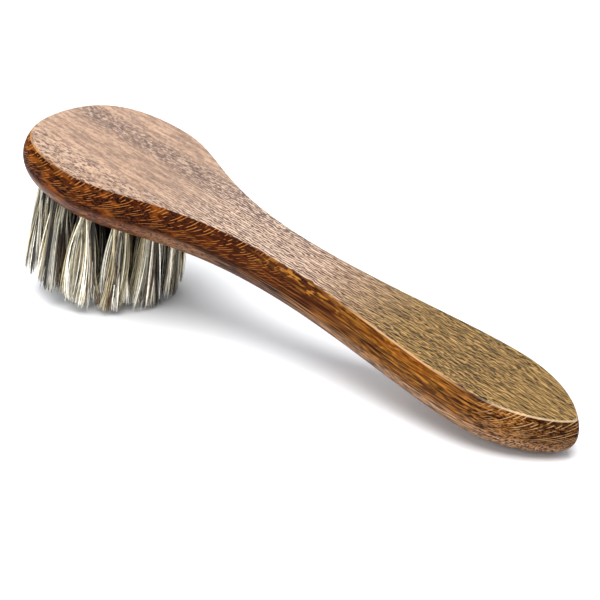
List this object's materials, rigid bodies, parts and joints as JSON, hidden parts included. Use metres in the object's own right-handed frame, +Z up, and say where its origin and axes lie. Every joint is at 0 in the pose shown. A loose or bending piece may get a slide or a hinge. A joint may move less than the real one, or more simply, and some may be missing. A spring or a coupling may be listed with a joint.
{
  "type": "shoe polish applicator brush",
  "caption": "Small wooden hand brush for putting on shoe polish: slim curved handle, round head and a round field of horsehair tufts pinned into drilled holes by wire staples.",
  "frame": {"origin": "centre of the bounding box at floor level, with the brush standing on its bristle ends and on the tip of its handle as in the picture", "axes": "+X runs level from the head to the tip of the handle, +Y across the board, +Z up. The flat top of the board faces up and leans 12.5 degrees down towards the tip of the handle."},
  "size_m": [0.1734, 0.048, 0.0475],
  "materials": {
    "wood": "stained beech under a clear glossy lacquer",
    "hair": "natural horsehair, a mix of cream, straw, grey, brown and black strands",
    "wire": "plain drawn steel wire"
  },
  "bodies": {
    "root": {"wood_body": "wood", "tuft_01": "hair", "tuft_02": "hair", "tuft_03": "hair", "tuft_04": "hair", "tuft_05": "hair", "tuft_06": "hair", "tuft_07": "hair", "tuft_08": "hair", "tuft_09": "hair", "tuft_10": "hair", "tuft_11": "hair", "tuft_12": "hair", "tuft_13": "hair", "tuft_14": "hair", "tuft_15": "hair", "tuft_16": "hair", "tuft_17": "hair", "tuft_18": "hair", "tuft_19": "hair", "staple_01": "wire", "staple_02": "wire", "staple_03": "wire", "staple_04": "wire", "staple_05": "wire", "staple_06": "wire", "staple_07": "wire", "staple_08": "wire", "staple_09": "wire", "staple_10": "wire", "staple_11": "wire", "staple_12": "wire", "staple_13": "wire", "staple_14": "wire", "staple_15": "wire", "staple_16": "wire", "staple_17": "wire", "staple_18": "wire", "staple_19": "wire"}
  },
  "joints": []
}
